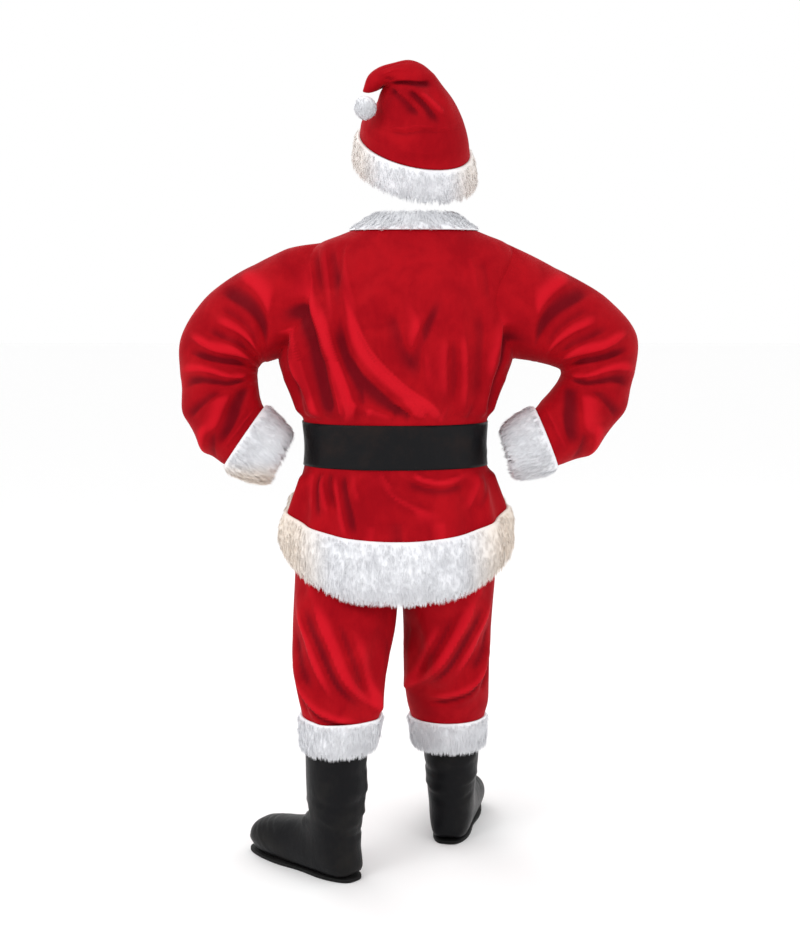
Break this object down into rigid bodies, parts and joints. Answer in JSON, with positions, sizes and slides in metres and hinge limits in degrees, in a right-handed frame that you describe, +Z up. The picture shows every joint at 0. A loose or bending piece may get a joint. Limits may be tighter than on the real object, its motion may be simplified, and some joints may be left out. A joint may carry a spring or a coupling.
{
  "type": "santa suit",
  "caption": "Worn Santa suit: red velvet jacket, trousers and hat with white fur trim, wide black belt and boot covers, hollow and standing with hands on hips.",
  "frame": {"origin": "middle of the wearer's waist, level with the middle of the belt", "axes": "+Z up, the wearer faces -Y, +X is the wearer's left"},
  "size_m": [1.0506, 0.6066, 1.8361],
  "materials": {
    "velvet": "red polyester velvet with a short nap, sheen along the folds",
    "fur": "long cream-white plush fur",
    "leatherette": "black leatherette, satin, softly creased",
    "sole": "matt black soft sole",
    "buckle": "polished gilt metal"
  },
  "bodies": {
    "root": {"jacket_back": "velvet", "jacket_front_left": "velvet", "jacket_front_right": "velvet", "sleeve_left": "velvet", "sleeve_right": "velvet", "trousers_back_left": "velvet", "trousers_back_right": "velvet", "trousers_front_left": "velvet", "trousers_front_right": "velvet", "hat_crown": "velvet", "hem_fur": "fur", "front_band_fur": "fur", "collar_fur": "fur", "cuff_fur_left": "fur", "cuff_fur_right": "fur", "trouser_fur_left": "fur", "trouser_fur_right": "fur", "hat_band_fur": "fur", "hat_pompom": "fur", "belt_strap": "leatherette", "boot_left": "leatherette", "boot_right": "leatherette", "sole_left": "sole", "sole_right": "sole", "belt_buckle": "buckle", "belt_prong": "buckle"}
  },
  "joints": []
}
